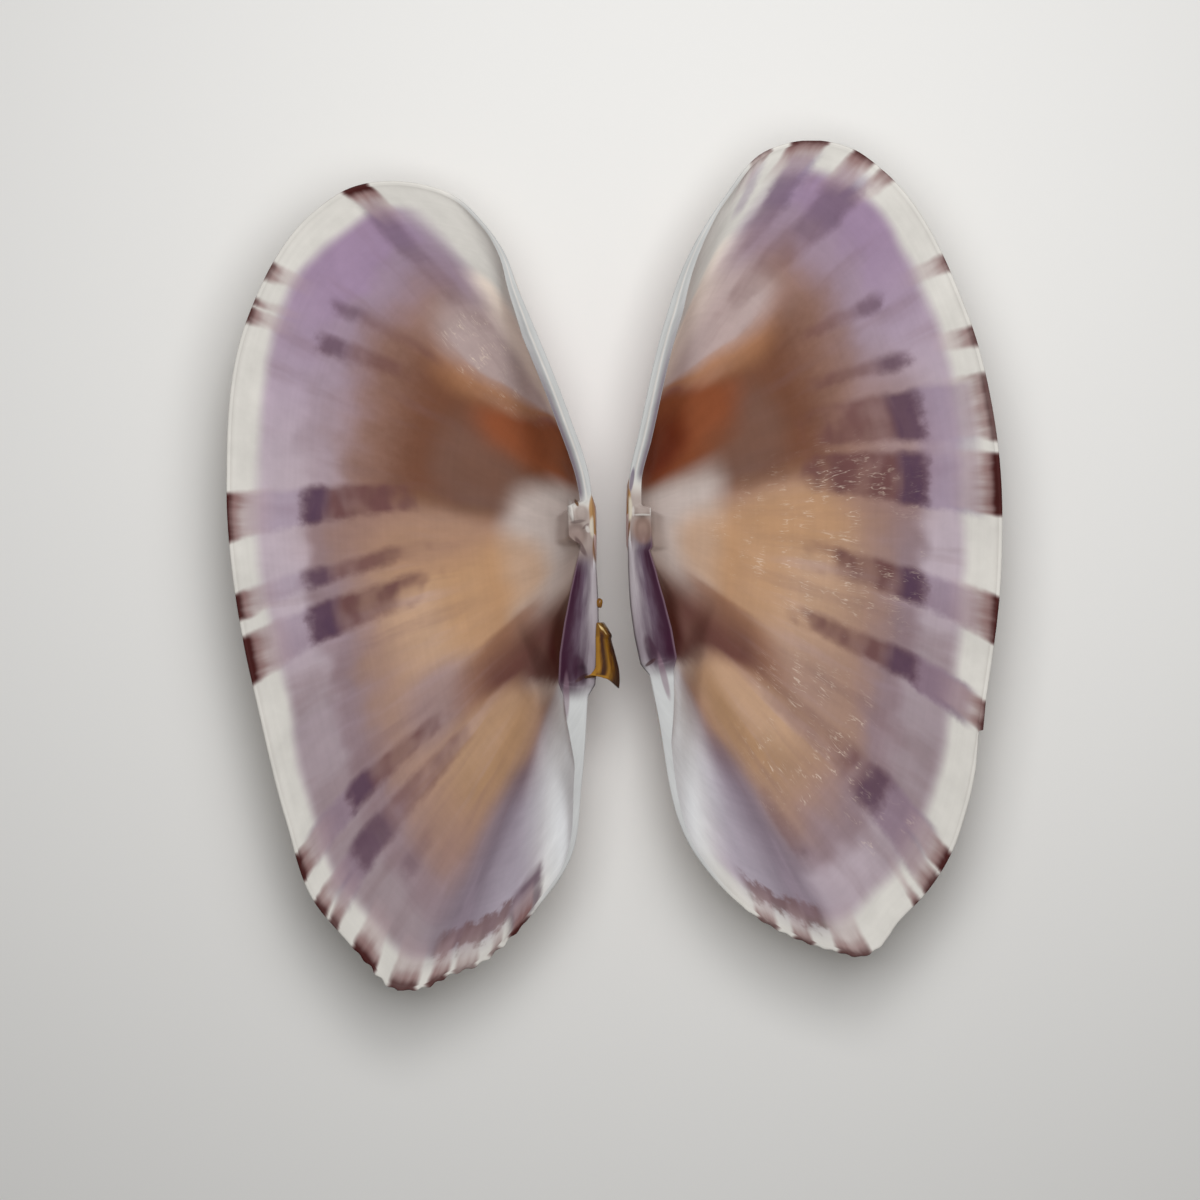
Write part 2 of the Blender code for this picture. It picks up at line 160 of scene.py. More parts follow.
leftValve = {
    "node": "left_valve",
    "beak": (1.25, 4.35),
    "side": 1,
    "margin": [
        (0.1, 3.0), (0.8, 6.2), (3.0, 15.6), (4.6, 20.2), (7.7, 25.4), (10.9, 29.1),
        (14.6, 30.1), (18.2, 29.4), (20.7, 27.6), (27.2, 16.8), (29.9, 5.8), (30.2, -5.0),
        (28.9, -15.6), (27.4, -24.1), (26.1, -27.8), (24.1, -30.9), (21.9, -33.2),
        (20.2, -35.4), (19.1, -36.0), (16.7, -35.6), (10.6, -33.0), (5.2, -27.4),
        (2.3, -16.0), (0.0, 0.0)],
    "plate": (-4.6, 0.75, 1.85),
    "reliefs": [
        ((0.98, -0.22), (0.66, 0.11), 0, 0.26),
        ((0.98, 0.15), (0.60, 0.34), 0, 0.12),
        ((1.05, -1.45), (0.55, 0.95), -4, -0.22),
        ((1.55, -11.9), (0.50, 0.90), -24, -0.30)],
    # besides the beak's own colours these paint light on the hinge: dark purple inside the front rim
    # and dark lines and patches as shade at steps, white crests as highlight on the teeth
    "tints": [
        ("rimPurple", (0.16, 2.60), (0.17, 1.00), 8, 0.75),
        ("beakGold", (-0.20, 1.45), (0.26, 0.60), -8, 0.85),
        ("beakCream", (-0.05, 0.25), (0.26, 1.00), 0, 0.80),
        ("beakBrown", (-0.16, -1.75), (0.10, 1.05), 8, 0.90),
        ("toothGrey", (1.00, 0.05), (0.72, 0.44), 0, 0.85),
        ("toothWhite", (1.00, -0.24), (0.66, 0.08), 0, 0.95),
        ("toothWhite", (0.27, 0.05), (0.10, 0.42), 0, 0.60),
        ("toothWhite", (1.66, 0.05), (0.05, 0.38), 0, 0.60),
        ("plateRose", (1.05, -1.45), (0.80, 1.15), -4, 0.60),
        ("crestPink", (2.75, -13.3), (0.26, 1.90), -14, 0.60),
        ("nymphDark", (1.70, -11.20), (0.45, 1.30), -20, 0.55),
        ("socketLine", (1.66, -12.20), (0.52, 0.15), -36, 0.80)],
    "scallops": (0.690, 0.790, 0.05),
    "chip": (28.75, -17.75),         # a small step broken out of the margin
    "marks": [
        (0.195, 0.208, 0.6), (0.219, 0.239, 1.0), (0.253, 0.266, 1.0), (0.271, 0.279, 0.8),
        (0.3245, 0.3345, 0.8), (0.365, 0.375, 0.8), (0.390, 0.4245, 0.75), (0.4315, 0.465, 1.0),
        (0.506, 0.531, 1.0), (0.562, 0.576, 0.9), (0.642, 0.6535, 1.0), (0.656, 0.6665, 0.9),
        (0.671, 0.675, 0.9), (0.7095, 0.7265, 0.8), (0.740, 0.7505, 0.8), (0.760, 0.773, 0.7)],
    "rays": [
        (0.221, 0.237, 0.90, 0.62, 0.28), (0.250, 0.271, 0.92, 0.48, 0.34),
        (0.3205, 0.330, 0.82, 0.57, 0.50), (0.360, 0.370, 0.82, 0.57, 0.65),
        (0.3845, 0.417, 0.82, 0.55, 0.85), (0.4245, 0.458, 0.82, 0.52, 1.0),
        (0.499, 0.520, 0.81, 0.56, 1.0), (0.552, 0.568, 0.82, 0.53, 0.95),
        (0.631, 0.657, 0.81, 0.70, 0.80), (0.628, 0.652, 0.72, 0.42, 0.35),
        (0.7055, 0.716, 0.76, 0.60, 0.5)],
    "veils": [(0.3845, 0.458, 0.45), (0.3845, 0.417, 0.25), (0.4245, 0.458, 0.25), (0.499, 0.520, 0.55),
              (0.551, 0.570, 0.75), (0.631, 0.657, 0.60), (0.252, 0.270, 0.65), (0.222, 0.238, 0.75),
              (0.200, 0.208, 0.45)],
    "scratches": [((0.485, 0.55), (0.07, 0.24), 1.0), ((0.645, 0.60), (0.06, 0.15), 1.0),
                  ((0.66, 0.86), (0.02, 0.08), 0.6)],
    "outerEdge": (0.932, 0.888),
    "dusk": 0.15,
    "peachDepth": 0.8,
    "rustEnd": 0.385,
    "rustTone": 1.0,
    "rustDepth": 0.65,
    "paleEdge": (0.360, 0.425),
    "paleSlant": 0.0,
    "bankPaintedLightRays": (0.235, 0.180),
}
valves = [rightValve, leftValve]

# Colours as the eye sees them on the shell in even light, red green blue of 255. Some also carry
# painted light and shade, noted where they are laid.
palette = {
    "marginWhite": (207, 204, 198),
    "lavender": (182, 168, 177),
    "violet": (150, 127, 153),
    "mauve": (154, 136, 145),
    "mauveGrey": (152, 137, 142),
    "mauveShade": (142, 122, 127),
    "mauveDusk": (134, 118, 119),
    "tan": (148, 117, 106),
    "sand": (166, 136, 119),
    "brown": (115, 80, 64),
    "darkBrown": (104, 66, 52),
    "greyBrown": (112, 88, 80),
    "peach": (186, 153, 127),
    "orange": (180, 141, 106),
    "gold": (160, 127, 98),
    "sienna": (128, 90, 71),
    "rust": (130, 77, 54),
    "deepRust": (94, 34, 6),
    "pinkWhite": (186, 173, 167),
    "maroon": (66, 28, 26),
    "plum": (98, 65, 60),
    "rayPurple": (84, 66, 86),
    "rayBrown": (104, 72, 72),
    "veil": (140, 122, 146),
    "fanLilac": (180, 162, 176),
    "fanBrown": (118, 92, 92),
    "scarPink": (178, 160, 158),
    "scarRim": (166, 119, 86),
    "scarLight": (236, 220, 206),
    "blueLilac": (166, 157, 168),
    "darkLilac": (104, 88, 100),
    "blueWhite": (214, 215, 217),
    "markMaroon": (66, 18, 14),
    "markBrown": (128, 96, 94),
    "markVeil": (172, 150, 152),
    "rimGrey": (182, 183, 182),
    "nymphLight": (164, 156, 160),
    "nymphMid": (102, 87, 100),
    "nymphDark": (62, 38, 52),
    "crestPink": (128, 104, 116),
    "rimPurple": (98, 82, 104),
    "beakGold": (160, 118, 62),
    "beakCream": (202, 194, 176),
    "beakBrown": (112, 74, 40),
    "toothWhite": (200, 195, 190),
    "toothGrey": (156, 142, 136),
    "socketGrey": (140, 122, 116),
    "socketLine": (72, 52, 54),
    "plateRose": (132, 103, 91),
    "skinBrown": (140, 112, 78),
    "hornAmber": (128, 90, 34),
    "hornBrown": (98, 60, 14),
    "hornDark": (52, 26, 8),
    "hornGold": (168, 122, 46),
    "hornOlive": (112, 82, 34),
    "hornShine": (226, 196, 138),
    "outsideCream": (222, 210, 196),
    "outsideRose": (190, 150, 152),
    "outsideMaroon": (128, 62, 72),
    "scratchWhite": (224, 206, 190),
}


def smoothStep(values, low, high):
    t = np.clip((values - low) / (high - low), 0.0, 1.0)
    return t * t * (3.0 - 2.0 * t)


def closedCurve(points, steps=48):
    knots = np.array(points)
    ahead = np.roll(knots, -1, axis=0)
    span = np.linalg.norm(ahead - knots, axis=1)
    slope = (ahead - knots) / span[:, None]
    spanBehind = np.roll(span, 1)
    slopeBehind = np.roll(slope, 1, axis=0)
    tangent = slopeBehind * span[:, None] + slope * spanBehind[:, None]
    tangent /= (span + spanBehind)[:, None]
    t = np.linspace(0.0, 1.0, steps, endpoint=False)[:, None]
    pieces = []
    for i in range(len(knots)):
        j = (i + 1) % len(knots)
        pieces.append((2 * t**3 - 3 * t**2 + 1) * knots[i] + (3 * t**2 - 2 * t**3) * knots[j]
                      + (t**3 - 2 * t**2 + t) * span[i] * tangent[i]
                      + (t**3 - t**2) * span[i] * tangent[j])
    return np.concatenate(pieces)


def marginColumns(valve, places):
    # the margin's points at shares of the path round it, and its whole length
    curve = closedCurve(valve["margin"]) - np.array((growthHabit["beakInset"], 0.0))
    start = int(np.argmin(np.hypot(curve[:, 0], curve[:, 1])))
    curve = np.roll(curve, -start, axis=0)
    closed = np.vstack([curve, curve[:1]])
    path = np.concatenate([[0.0], np.cumsum(np.linalg.norm(np.diff(closed, axis=0), axis=1))])
    wanted = places * path[-1]
    return np.stack([np.interp(wanted, path, closed[:, k]) for k in (0, 1)], axis=1), path[-1]


# How much closer the columns stand at the hinge, the ribbed hind margin and the chip.
crowding = {"hinge": 1.9, "ribs": 0.9, "chip": 3.0}


def columnPlaces(valve, around):
    fine = np.linspace(0.0, 1.0, growthHabit["fineSteps"])
    crowd = 1.0 + crowding["hinge"] * (1 - smoothStep(np.minimum(fine, 1 - fine), 0.08, 0.11))
    low, high, _ = valve["scallops"]
    before, behind = smoothStep(fine, low - 0.02, low), smoothStep(fine, high, high + 0.02)
    crowd += crowding["ribs"] * before * (1 - behind)
    if valve["chip"]:
        crowd += crowding["chip"] * np.exp(-((fine - chipPlace(valve)) / 0.006)**2)
    total = np.concatenate([[0.0], np.cumsum((crowd[1:] + crowd[:-1]) / 2)])
    return np.interp(np.linspace(0.0, 1.0, around + 1), total / total[-1], fine)


def chipPlace(valve):
    fine = np.linspace(0.0, 1.0, growthHabit["fineSteps"])
    margin, _ = marginColumns(valve, fine)
    return fine[np.argmin(np.linalg.norm(margin - np.array(valve["chip"]), axis=1))]


def rayFullness(valve, places):
    # how deep each ray runs: worked out on even columns, then read at the places
    even = np.linspace(0.0, 1.0, growthHabit["evenColumns"], endpoint=False)
    margin, _ = marginColumns(valve, even)
    reach = np.hypot(margin[:, 0], margin[:, 1])
    height = np.maximum(margin[:, 0], 0.0)
    rays = height + growthHabit["endFullness"] * (reach - height)
    rays *= 1 - growthHabit["hindFullness"] * margin[:, 1] / reach
    for _ in range(growthHabit["smoothing"]):
        rays = (np.roll(rays, 1) + 2 * rays + np.roll(rays, -1)) / 4
    fine = np.linspace(0.0, 1.0, growthHabit["fineColumns"], endpoint=False)
    smooth = np.interp(fine, even, rays, period=1.0)
    for _ in range(growthHabit["fineSmoothing"]):
        smooth = (np.roll(smooth, 1) + 2 * smooth + np.roll(smooth, -1)) / 4
    return np.interp(places, fine, smooth, period=1.0)


def growthRing(margin, rays, factor, size):
    turn = -math.log(size) / growthHabit["tightness"]
    lean = growthHabit["beakLean"] * math.exp(-(size / growthHabit["beakReach"])**2)
    across = margin[:, 0] * size * math.cos(turn) - lean * rays / rays.max()
    along = margin[:, 1] * size**growthHabit["lengthPower"]
    return np.stack([across, along, -rays * size * math.sin(turn) * factor], axis=1)


def growthUnder(valve, points, places, margin, rays, factor):
    # ray, growth and depth of the outer surface under points inside the margin, by halving
    middle = np.array(growthHabit["bowlMiddle"])
    arms = margin - middle
    beakHeading = math.atan2(-middle[1], -middle[0])
    turned = (beakHeading - np.arctan2(arms[:, 1], arms[:, 0])) % (2 * math.pi)
    turned[0] = 0.0
    turned[-1] = 2 * math.pi
    turned = np.maximum.accumulate(turned)
    reach = np.hypot(arms[:, 0], arms[:, 1])
    low = np.full(len(points), 0.02)
    high = np.ones(len(points)) * 1.02
    for _ in range(growthHabit["halvings"]):
        size = (low + high) / 2
        turn = -np.log(np.minimum(size, 1.0)) / growthHabit["tightness"]
        grown = np.stack([points[:, 0] / (size * np.cos(turn)),
                          points[:, 1] / size**growthHabit["lengthPower"]], axis=1) - middle
        heading = (beakHeading - np.arctan2(grown[:, 1], grown[:, 0])) % (2 * math.pi)
        outside = np.hypot(grown[:, 0], grown[:, 1]) > np.interp(heading, turned, reach)
        low = np.where(outside, size, low)
        high = np.where(outside, high, size)
    ray = np.interp(heading, turned, places)
    depth = np.interp(heading, turned, rays) * size * np.sin(turn) * factor
    return ray, size, depth


def deepestFactor(margin, rays):
    lowest = min(growthRing(margin, rays, 1.0, size)[:, 2].min()
                 for size in np.linspace(0.2, 0.6, 81))
    return growthHabit["depth"] / -lowest


def inwardNormals(margin):
    # square to the margin, towards the bowl; the margin runs clockwise
    once = margin[:-1]      # the last point repeats the first
    ahead = np.roll(once, -1, axis=0) - np.roll(once, 1, axis=0)
    ahead /= np.linalg.norm(ahead, axis=1)[:, None]
    inward = np.stack([ahead[:, 1], -ahead[:, 0]], axis=1)
    return np.vstack([inward, inward[:1]])


def reliefHeight(valve, across, along):
    # teeth and sockets of the hinge as soft forms raised from or sunk into the plate
    total = np.zeros_like(across)
    for (x, y), (halfAcross, halfAlong), turn, height in valve["reliefs"]:
        c = math.cos(math.radians(turn))
        s = math.sin(math.radians(turn))
        a = ((across - x) * c - (along - y) * s) / halfAcross
        b = ((across - x) * s + (along - y) * c) / halfAlong
        total += height * (1 - smoothStep(np.sqrt(a * a + b * b), 0.55, 1.25))
    return total


sheetRows = {"outside": 72, "rim": 15, "inside": 80}
sheetColumns = 500

# Low forms on a valve. Humps: height, place across the rim, width.
surface = {
    "lineHeight": 0.022,             # growth lines on the outside
    "fineLines": 150,
    "broadLines": 67,
    "ribSpacing": 1.35,              # ribs of the hind margin
    "ribHeight": 0.05,
    "ribOnRim": 0.035,
    "chipDepth": (0.13, 0.20),       # ahead of the broken step and past it
    "chipReach": (3.2, 3.6),
    "frontHumps": [(0.16, 0.5, 0.16)],
    "nymphHumps": [(0.30, 0.2, 0.17), (-0.16, 0.64, 0.2), (0.14, 0.97, 0.09)],
    "bankSlopes": (1.6, 0.9),        # in front of the beak and behind it
    "bankReach": (1.5, 5.5),
    "scarMiddle": (0.245, 0.47),     # ray and growth of the front muscle's scar
    "scarReach": (0.052, 0.18),
    "scarDepth": 0.07,
}


def humps(t, forms):
    return sum(height * math.exp(-((t - place) / wide)**2) for height, place, wide in forms)


def valveSheet(valve):
    # every point of a valve as rows from the beak outside, over the rim, to the bowl's middle
    places = columnPlaces(valve, sheetColumns)
    margin, around = marginColumns(valve, places)
    rays = rayFullness(valve, places)
    factor = deepestFactor(margin, rays)
    signed = np.where(places < 0.5, places, places - 1.0) * around
    stations = np.array(rimStations)
    width, crown, ledge = [np.interp(signed, stations[:, 0], stations[:, k]) for k in (1, 2, 3)]
    low, high, plate = valve["plate"]
    onPlate = smoothStep(margin[:, 1], low, low + 1.8)
    onPlate *= 1 - smoothStep(margin[:, 1], high - 0.45, high)
    onPlate *= np.abs(signed) < 8
    plainWidth = width
    for _ in range(growthHabit["calming"]):
        plainWidth = (np.roll(plainWidth, 1) + 2 * plainWidth + np.roll(plainWidth, -1)) / 4
    width = np.maximum(width, plate * onPlate)
    inward = inwardNormals(margin)
    low, high, scallop = valve["scallops"]
    ribbed = smoothStep(places, low, low + 0.02) * (1 - smoothStep(places, high - 0.02, high))
    turns = places * around * 2 * math.pi / surface["ribSpacing"]
    wave = np.sin(turns + 1.5 * np.sin(places * 61.0))
    shift = scallop * ribbed * wave
    if valve["chip"]:
        past = (places - chipPlace(valve)) * around
        (rise, fall), (before, behind) = surface["chipDepth"], surface["chipReach"]
        shift += rise * smoothStep(past, -before, 0.0) * (past < 0.0)
        shift -= fall * (1 - smoothStep(past, 0.0, behind)) * (past >= 0.0)
    outer = margin - inward * shift[:, None]

    rows = []
    rayMap = []
    growthMap = []
    acrossMap = []
    count = sheetRows["outside"]
    for k in range(count + 1):
        s = k / count
        size = growthHabit["tip"] + (1 - growthHabit["tip"]) * (1 - (1 - s)**1.35)
        ring = growthRing(margin, rays, factor, size)
        nearMargin = smoothStep(np.array(size), 0.955, 1.0)
        ring[:, :2] += (outer - margin - inward * ledge[:, None]) * nearMargin
        ring[:, 2] += surface["ribHeight"] * ribbed * wave * smoothStep(np.array(size), 0.55, 1.0)
        lines = np.sin(size * surface["fineLines"] + 2.2 * np.sin(size * 31)) * 0.5
        lines += np.sin(size * surface["broadLines"])
        offBeak = smoothStep(np.array(size), 0.1, 0.3)
        ring[:, 2] -= surface["lineHeight"] * lines * offBeak * (1 - nearMargin)
        if k == 0:
            ring[:] = ring.mean(axis=0)
        rows.append(ring)
        rayMap.append(places)
        growthMap.append(np.full(len(places), size))
        acrossMap.append(np.zeros(len(places)))

    edge = margin + inward * width[:, None]
    nymph = smoothStep(-signed, 1.2, 4.0) * (1 - smoothStep(-signed, 12.3, 12.7))
    front = smoothStep(signed, 1.5, 4.0) * (1 - smoothStep(signed, 17.0, 24.0))
    count = sheetRows["rim"]
    lip = outer - inward * ledge[:, None]
    rayRows = []
    growthRows = []
    for k in range(1, count + 1):
        t = k / count
        points = lip + (edge - lip) * t
        plain = (crown + 0.05) * math.sin(math.pi * min(t, 0.9))**0.7
        ridge = humps(t, surface["frontHumps"]) + 0.05 * math.sin(math.pi * t)
        trough = humps(t, surface["nymphHumps"])
        height = plain * (1 - nymph) * (1 - front) + ridge * front + trough * nymph
        height += surface["ribOnRim"] * ribbed * wave * (1 - t)
        rows.append(np.column_stack([points, height]))
        acrossMap.append(np.full(len(places), t))
        _, size, _ = growthUnder(valve, points, places, margin, rays, factor)
        rayRows.append(places)
        growthRows.append(size)

    middle = np.array(growthHabit["bowlMiddle"])
    lastHeight = rows[-1][:, 2]
    # towards both ends the hinge side falls into the bowl as a bank, not a step
    softBank = smoothStep(signed, 4.0, 9.0) * (1 - smoothStep(signed, 30.0, 38.0))
    softBank += smoothStep(-signed, 8.0, 16.0) * (1 - smoothStep(-signed, 34.0, 42.0))
    count = sheetRows["inside"]
    for k in range(1, count + 1):
        s = k / count
        share = 1 - (0.22 * s + 0.78 * s**2.1)
        follow = share**growthHabit["rimFollow"]
        points = middle + (edge * follow + margin * (1 - follow) - middle) * share
        toEdge = np.linalg.norm(edge - points, axis=1)
        plainEdge = margin + inward * plainWidth[:, None]
        deeper = smoothStep(toEdge, 0.2, 1.8)
        slopeWidth = width * (1 - deeper) + plainWidth * deeper
        toEdge += (np.linalg.norm(plainEdge - points, axis=1) - toEdge) * deeper
        ray, size, depth = growthUnder(valve, points, places, margin, rays, factor)
        rayRows.append(ray)
        growthRows.append(size)
        wall = growthHabit["wall"] * (1 - np.exp(-(toEdge + slopeWidth) / growthHabit["wallFade"]))
        depth = np.maximum(depth - wall, 0.0)
        depth *= 1 - np.exp(-toEdge / (growthHabit["rimSlope"] * slopeWidth))
        bank = np.where(signed > 0, *surface["bankSlopes"]) * (toEdge + 0.02)
        near = softBank * (1 - smoothStep(toEdge, *surface["bankReach"]))
        depth = depth * bank / (depth**4 + bank**4 + 1e-9)**0.25 * near + depth * (1 - near)
        height = -depth + lastHeight * np.exp(-toEdge / 0.5)
        rows.append(np.column_stack([points, height]))
        acrossMap.append(1 + toEdge / width)

    ray = np.array(rayRows)
    growth = np.array(growthRows)
    rayMap = np.vstack([np.array(rayMap), ray])
    growthMap = np.vstack([np.array(growthMap), growth])
    points = np.array(rows)
    inside = points[sheetRows["outside"] + 1:]
    relief = reliefHeight(valve, inside[:, :, 0], inside[:, :, 1])
    offEdge = smoothStep(np.array(acrossMap)[sheetRows["outside"] + 1:], 0.12, 0.4)
    inside[:, :, 2] += relief * offEdge
    # the front muscle's scar is sunk a little, and its lower edge is a low step
    (atRay, atGrowth), (wide, high) = surface["scarMiddle"], surface["scarReach"]
    fromMiddle = np.hypot((ray - atRay) / wide, (growth - atGrowth) / high)
    scar = 1 - smoothStep(fromMiddle, 0.85, 1.05)
    offRim = (np.arange(len(inside)) > sheetRows["rim"])[:, None]
    inside[:, :, 2] -= surface["scarDepth"] * scar * offRim
    return points, places, rayMap, growthMap, np.array(acrossMap)


def buildValve(valve):
    points, places, rayMap, growthMap, acrossMap = valveSheet(valve)
    rowCount = sum(sheetRows.values())
    bpy.ops.object.select_all(action="DESELECT")
    bpy.ops.mesh.primitive_grid_add(x_subdivisions=sheetColumns, y_subdivisions=rowCount, size=2.0)
    piece = bpy.context.object
    piece.name = valve["node"] + "_shell"
    mesh = piece.data
    flat = np.empty(len(mesh.vertices) * 3, dtype=np.float32)
    mesh.vertices.foreach_get("co", flat)
    flat = flat.reshape(-1, 3)
    column = np.rint((flat[:, 0] + 1) / 2 * sheetColumns).astype(int)
    row = np.rint((flat[:, 1] + 1) / 2 * rowCount).astype(int)
    own = points[row, column]
    placed = np.empty_like(own)
    placed[:, 0] = valve["beak"][0] + valve["side"] * own[:, 0]
    placed[:, 1] = valve["beak"][1] + own[:, 1]
    placed[:, 2] = np.maximum(growthHabit["depth"] - growthHabit["bellyCut"] + own[:, 2], 0.0)
    placed = np.clip(placed * mm, np.array(cadBox[0]), np.array(cadBox[1]))
    mesh.vertices.foreach_set("co", placed.astype(np.float32).ravel())

    corner = np.empty(len(mesh.loops), dtype=np.int32)
    mesh.loops.foreach_get("vertex_index", corner)
    first = mesh.uv_layers[0]
    first.name = "growth"
    ray = rayMap[row, column][corner]
    quad = ray.reshape(-1, 4)       # a face that spans the beak counts on past a whole turn
    wide = (quad.max(axis=1) - quad.min(axis=1)) > 0.5
    quad[wide] = np.where(quad[wide] < 0.5, quad[wide] + 1, quad[wide])
    pairs = np.stack([quad.ravel(), growthMap[row, column][corner]], axis=1)
    first.data.foreach_set("uv", pairs.astype(np.float32).ravel())
    second = mesh.uv_layers.new(name="rim")
    pairs = np.stack([places[column][corner], acrossMap[row, column][corner]], axis=1)
    second.data.foreach_set("uv", pairs.astype(np.float32).ravel())

    faceRow = row[corner].reshape(-1, 4).min(axis=1)
    slots = (faceRow >= sheetRows["outside"]).astype(np.int32)
    mesh.materials.append(outsideFinish(valve))
    mesh.materials.append(insideFinish(valve))
    mesh.polygons.foreach_set("material_index", slots)
    mesh.update()

    bpy.ops.object.mode_set(mode="EDIT")
    bpy.ops.mesh.select_all(action="SELECT")
    bpy.ops.mesh.remove_doubles(threshold=0.0000005)
    bpy.ops.mesh.normals_make_consistent(inside=False)
    bpy.ops.object.mode_set(mode="OBJECT")
    bpy.ops.object.shade_smooth()
    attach(piece, "root")
    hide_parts(valve["node"])
    print("valve", valve["node"], "faces", len(mesh.polygons))
    return piece


shellSheen = 0.014     # the white light that the polish adds over every colour


def linear(name, strength=1.0):
    # a palette colour as the shader wants it
    shares = [value / 255 for value in palette[name]]
    flat = [c / 12.92 if c <= 0.04045 else ((c + 0.055) / 1.055)**2.4 for c in shares]
    return [max(strength * c - shellSheen, 0.3 * c) for c in flat] + [1.0]


def newFinish(name):
    # the helpers below add their nodes to the finish that was begun last
    global tree
    material = bpy.data.materials.new(name)
    material.use_nodes = True
    tree = material.node_tree
    return material, tree.nodes["Principled BSDF"]


def add(kind):
    return tree.nodes.new("ShaderNode" + kind)


def feed(socket, value):
    if isinstance(value, bpy.types.NodeSocket):
        tree.links.new(value, socket)
    else:
        socket.default_value = value


def calc(operation, *values):
    node = add("Math")
    node.operation = operation
    for socket, value in zip(node.inputs, values):
        feed(socket, value)
    return node.outputs[0]


def fade(value, low, high):
    # 0 at low, 1 at high, smooth between; low may be the greater
    node = add("MapRange")
    node.interpolation_type = "SMOOTHSTEP"
    feed(node.inputs["Value"], value)
    if low < high:
        node.inputs["From Min"].default_value = low
        node.inputs["From Max"].default_value = high
        return node.outputs["Result"]
    node.inputs["From Min"].default_value = high
    node.inputs["From Max"].default_value = low
    node.inputs["To Min"].default_value = 1.0
    node.inputs["To Max"].default_value = 0.0
    return node.outputs["Result"]


def times(*values):
    result = values[0]
    for value in values[1:]:
        result = calc("MULTIPLY", result, value)
    return result


def band(value, low, high, soft):
    up = fade(value, low - soft / 2, low + soft / 2)
    down = fade(value, high + soft / 2, high - soft / 2)
    return times(up, down)


def spot(ray, growth, middle, reach, soft):
    across = calc("SUBTRACT", ray, middle[0])
    up = calc("SUBTRACT", growth, middle[1])
    a = calc("DIVIDE", across, reach[0])
    b = calc("DIVIDE", up, reach[1])
    far = calc("SQRT", calc("ADD", times(a, a), times(b, b)))
    return fade(far, 1 + soft / 2, 1 - soft / 2)


def overlay(below, above, mask):
    # above covers below as far as the mask goes
    node = add("Mix")
    node.data_type = "RGBA"
    feed(node.inputs["Factor"], mask)
    feed(node.inputs[6], below)
    feed(node.inputs[7], above)
    return node.outputs[2]


def startPaint(base):
    # colours over one another: lay adds one where its masks meet, painted is all so far
    coats = [linear(base)]

    def lay(name, strength, *masks, shade=1.0):
        if strength != 1.0:
            masks += (strength,)
        coats.append(overlay(coats[-1], linear(name, shade), times(*masks)))

    def painted():
        return coats[-1]

    return lay, painted


def noise(place, scale, detail=2.0, rough=0.5):
    node = add("TexNoise")
    node.inputs["Scale"].default_value = scale
    node.inputs["Detail"].default_value = detail
    node.inputs["Roughness"].default_value = rough
    tree.links.new(place, node.inputs["Vector"])
    return node.outputs["Fac"]


def combine(x, y, z=0.0):
    node = add("CombineXYZ")
    for socket, value in zip(node.inputs, (x, y, z)):
        feed(socket, value)
    return node.outputs[0]


def mapPlace(name):
    node = add("UVMap")
    node.uv_map = name
    parts = add("SeparateXYZ")
    tree.links.new(node.outputs[0], parts.inputs[0])
    return parts.outputs[0], parts.outputs[1]


def sway(value, grain, amount):
    # the value pushed to and fro by a noise
    return calc("MULTIPLY_ADD", calc("SUBTRACT", grain, 0.5), amount, value)


def shaded(colour, shade):
    node = add("VectorMath")
    node.operation = "SCALE"
    feed(node.inputs[0], colour)
    feed(node.inputs["Scale"], shade)
    return node.outputs[0]


def shellPlaces(seed):
    # ray and growth with a slight hand-drawn waver, and noises along them
    ray, growth = mapPlace("growth")
    flat = combine(times(ray, 156.0), times(growth, 32.0), seed)
    waverAcross = sway(ray, noise(flat, 0.35, 3.0), 0.006)
    waverUp = sway(growth, noise(flat, 0.12, 2.0), 0.05)
    streak = noise(combine(times(ray, 170.0), times(growth, 6.0), seed), 1.0, 2.0)
    rings = noise(combine(times(ray, 9.0), times(growth, 75.0), seed), 1.0, 2.0)
    mottle = noise(flat, 0.9, 3.0, 0.6)
    return waverAcross, waverUp, streak, rings, mottle, flat


def leaning(ray, growth, still, slant):
    # the ray itself on one growth line, further on below it
    return calc("MULTIPLY_ADD", calc("SUBTRACT", still, growth), slant, ray)


def marksAcross(ray, growth, valve):
    # the dark margin marks as one mask
    shifted = leaning(ray, growth, 1.0, 0.05)
    total = None
    for low, high, strength in valve["marks"]:
        one = times(band(shifted, low, high, 0.0036), strength)
        total = one if total is None else calc("MAXIMUM", total, one)
    return total


def rayPlace(ray, growth):
    # rays slant less towards the hind end; straight in this coordinate
    below = calc("MAXIMUM", calc("SUBTRACT", 0.8, growth), 0.0)
    above = calc("MAXIMUM", calc("SUBTRACT", growth, 0.8), 0.0)
    slant = times(fade(ray, 0.60, 0.42), 0.058)
    place = calc("ADD", ray, times(slant, below))
    lean = times(fade(ray, 0.24, 0.42), -0.045)
    return calc("ADD", place, times(lean, above))


def drawnLine(value, points):
    # a smooth curve through given points, read at the value
    node = add("FloatCurve")
    curve = node.mapping.curves[0]
    curve.points[0].location = points[0]
    curve.points[1].location = points[-1]
    for point in points[1:-1]:
        curve.points.new(*point)
    node.mapping.update()
    feed(node.inputs["Value"], value)
    return node.outputs[0]


def hingePlaces(valve):
    # millimetres from the beak: away from the hinge line, and towards the front
    node = add("TexCoord")
    parts = add("SeparateXYZ")
    tree.links.new(node.outputs["Object"], parts.inputs[0])
    x = calc("MULTIPLY_ADD", parts.outputs[0], valve["side"] / mm, -valve["side"] * valve["beak"][0])
    y = calc("MULTIPLY_ADD", parts.outputs[1], 1 / mm, -valve["beak"][1])
    return x, y


